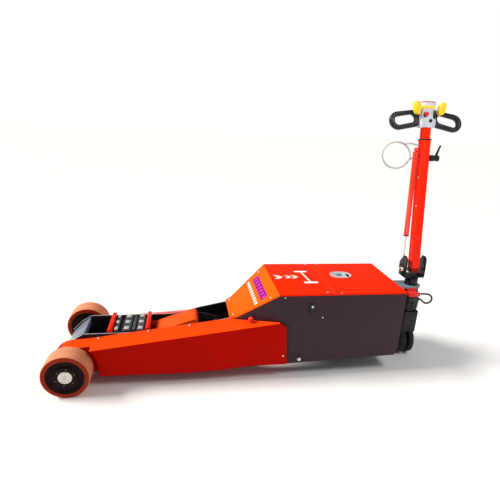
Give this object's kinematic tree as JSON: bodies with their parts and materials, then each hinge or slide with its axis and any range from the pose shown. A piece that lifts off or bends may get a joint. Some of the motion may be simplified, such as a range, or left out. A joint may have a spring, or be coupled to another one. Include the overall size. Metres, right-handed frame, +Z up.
{
  "type": "powered trolley jack",
  "caption": "Battery-driven trolley jack with a lifting arm and levelled saddle, free front wheels, a machine box, a steered drive wheel and a hinged telescopic tiller.",
  "frame": {"origin": "on the floor, midway between the fronts of the front tyres and the rear end of the tiller head, in the middle of the track", "axes": "+X from the front wheels towards the tiller, +Y to the right-hand side seen from the tiller, +Z up"},
  "size_m": [2.053, 0.558, 1.3589],
  "materials": {
    "anthracite_paint": "satin anthracite powder coat",
    "black_frame_paint": "satin black paint on the frame plates",
    "grey_paint": "grey paint",
    "red_paint": "glossy red-orange powder coat",
    "arm_paint": "glossy red paint on the lifting gear",
    "zinc_steel": "zinc plated or ground steel",
    "rib_steel": "galvanised ribs",
    "polyurethane_tread": "terracotta polyurethane",
    "cast_hub": "dark painted cast iron",
    "cap_metal": "turned cap",
    "chrome_rod": "hard chromed rod",
    "black_plastic": "textured black plastic",
    "grip_rubber": "soft black grip",
    "head_plastic": "light grey plastic",
    "yellow_plastic": "yellow plastic",
    "red_plastic": "red plastic",
    "drive_rubber": "black solid rubber tyre",
    "battery_case": "battery case",
    "lead_jacket": "grey flexible jacket",
    "power_jacket": "black cable jacket"
  },
  "bodies": {
    "chassis": {"frame_plate_left": "black_frame_paint", "frame_plate_right": "black_frame_paint", "front_cross_member": "grey_paint", "tray_floor": "black_frame_paint", "side_beam_left": "red_paint", "side_beam_right": "red_paint", "front_axle": "zinc_steel", "arm_pivot_shaft": "zinc_steel", "frame_bolts": "zinc_steel", "hood": "red_paint", "side_panel_left": "anthracite_paint", "side_panel_right": "anthracite_paint", "rear_panel": "anthracite_paint", "hood_handle_cup": "cap_metal", "battery": "battery_case", "oil_tank": "black_frame_paint", "pump_motor": "cast_hub", "motor_controller": "zinc_steel", "steering_bracket": "grey_paint", "slew_bearing": "black_frame_paint", "power_connectors": "red_plastic", "power_lead": "power_jacket"},
    "wheel_left": {"wheel_left_tyre": "polyurethane_tread", "wheel_left_hub": "cast_hub", "wheel_left_bearings": "zinc_steel", "wheel_left_cap": "cap_metal"},
    "wheel_right": {"wheel_right_tyre": "polyurethane_tread", "wheel_right_hub": "cast_hub", "wheel_right_bearings": "zinc_steel", "wheel_right_cap": "cap_metal"},
    "arm": {"lift_arm": "arm_paint", "arm_cover": "red_paint"},
    "saddle": {"saddle_base": "black_frame_paint", "saddle_lips": "arm_paint", "saddle_ribs": "rib_steel"},
    "link": {"levelling_link": "zinc_steel"},
    "ram": {"ram_barrel": "black_frame_paint"},
    "ram_piston": {"ram_rod": "chrome_rod"},
    "steering": {"king_pin": "black_frame_paint", "clevis_bracket": "black_frame_paint", "tiller_bolt": "zinc_steel", "drive_motor": "black_frame_paint", "drive_gearbox": "cast_hub", "drive_cover": "black_plastic"},
    "drive_wheel": {"drive_tyres": "drive_rubber", "drive_hubs": "cast_hub"},
    "tiller": {"tiller_tube": "red_paint", "control_lead": "lead_jacket"},
    "clamp": {"clamp_lever": "black_plastic"},
    "strut_barrel": {"strut_tube": "arm_paint"},
    "strut_piston": {"strut_rod": "chrome_rod"},
    "tiller_head": {"inner_tube": "red_paint", "head_housing": "head_plastic", "handle_loops": "grip_rubber"},
    "belly": {"belly_button": "head_plastic"},
    "throttle": {"butterflies": "yellow_plastic"},
    "stop": {"stop_button": "red_plastic"},
    "rocker": {"lift_rocker": "black_plastic"},
    "left_latch": {"latch_left": "zinc_steel"},
    "right_latch": {"latch_right": "zinc_steel"}
  },
  "joints": [
    {"name": "wheel_left_spin", "type": "hinge", "parent": "chassis", "child": "wheel_left", "pos_m": [-0.9215, -0.2315, 0.105], "axis": [0, 1, 0], "continuous": true},
    {"name": "wheel_right_spin", "type": "hinge", "parent": "chassis", "child": "wheel_right", "pos_m": [-0.9215, 0.2315, 0.105], "axis": [0, 1, 0], "continuous": true},
    {"name": "arm_lift", "type": "hinge", "parent": "chassis", "child": "arm", "pos_m": [-0.2315, 0, 0.178], "axis": [0, 1, 0], "range_deg": [0, 40]},
    {"name": "saddle_level", "type": "hinge", "parent": "arm", "child": "saddle", "pos_m": [-0.6715, 0, 0.15], "axis": [0, 1, 0], "range_deg": [-40, 0]},
    {"name": "link_swing", "type": "hinge", "parent": "chassis", "child": "link", "pos_m": [-0.2315, 0, 0.133], "axis": [0, 1, 0], "range_deg": [0, 40]},
    {"name": "ram_swing", "type": "hinge", "parent": "chassis", "child": "ram", "pos_m": [0.2185, 0, 0.11], "axis": [0, 1, 0], "range_deg": [0, 0.3]},
    {"name": "ram_stroke", "type": "slide", "parent": "ram", "child": "ram_piston", "axis": [-1, 0, 0], "range_m": [0, 0.048]},
    {"name": "steer", "type": "hinge", "parent": "chassis", "child": "steering", "pos_m": [0.8265, 0, 0.3], "axis": [0, 0, -1], "range_deg": [0, 180]},
    {"name": "drive_spin", "type": "hinge", "parent": "steering", "child": "drive_wheel", "pos_m": [0.8265, 0, 0.082], "axis": [1, 0, 0], "continuous": true},
    {"name": "tiller_tilt", "type": "hinge", "parent": "steering", "child": "tiller", "pos_m": [0.8265, 0, 0.498], "axis": [-1, 0, 0], "range_deg": [0, 78], "stiffness_Nm_per_rad": 30, "springref_deg": -57.3},
    {"name": "strut_rod_swing", "type": "hinge", "parent": "steering", "child": "strut_piston", "pos_m": [0.783, 0.038, 0.514], "axis": [-1, 0, 0], "range_deg": [0, 83]},
    {"name": "strut_tube_swing", "type": "hinge", "parent": "tiller", "child": "strut_barrel", "pos_m": [0.783, 0.1029, 1.11954], "axis": [-1, 0, 0], "range_deg": [0, 5]},
    {"name": "tiller_extend", "type": "slide", "parent": "tiller", "child": "tiller_head", "axis": [0, 0.1633, 0.9866], "range_m": [0, 0.22]},
    {"name": "clamp_turn", "type": "hinge", "parent": "tiller", "child": "clamp", "pos_m": [0.8815, 0.09636, 1.08008], "axis": [1, 0, 0], "range_deg": [-60, 60]},
    {"name": "belly_press", "type": "slide", "parent": "tiller_head", "child": "belly", "axis": [0, -0.1633, -0.9866], "range_m": [0, 0.004], "stiffness_N_per_m": 900, "springref_m": -0.005},
    {"name": "throttle_turn", "type": "hinge", "parent": "tiller_head", "child": "throttle", "pos_m": [0.8265, 0.12554, 1.30534], "axis": [1, 0, 0], "range_deg": [-18, 18], "stiffness_Nm_per_rad": 1.2},
    {"name": "stop_press", "type": "slide", "parent": "tiller_head", "child": "stop", "axis": [0, 0.9866, -0.1633], "range_m": [0, 0.005], "stiffness_N_per_m": 500, "springref_m": -0.004},
    {"name": "rocker_tip", "type": "hinge", "parent": "tiller_head", "child": "rocker", "pos_m": [0.8535, 0.10649, 1.2943], "axis": [1, 0, 0], "range_deg": [-5, 5], "stiffness_Nm_per_rad": 0.5},
    {"name": "left_latch_turn", "type": "hinge", "parent": "chassis", "child": "left_latch", "pos_m": [0.2005, -0.2133, 0.384], "axis": [0, 1, 0], "range_deg": [0, 90]},
    {"name": "right_latch_turn", "type": "hinge", "parent": "chassis", "child": "right_latch", "pos_m": [0.2005, 0.2133, 0.384], "axis": [0, -1, 0], "range_deg": [0, 90]}
  ],
  "couplings": [
    {"joint": "saddle_level", "follows": "arm_lift", "ratio": -1},
    {"joint": "link_swing", "follows": "arm_lift", "ratio": 1},
    {"joint": "ram_swing", "follows": "arm_lift", "ratio": 0.006},
    {"joint": "ram_stroke", "follows": "arm_lift", "m_per_rad": 0.0686},
    {"joint": "strut_rod_swing", "follows": "tiller_tilt", "ratio": 1.0568},
    {"joint": "strut_tube_swing", "follows": "tiller_tilt", "ratio": 0.0568}
  ]
}
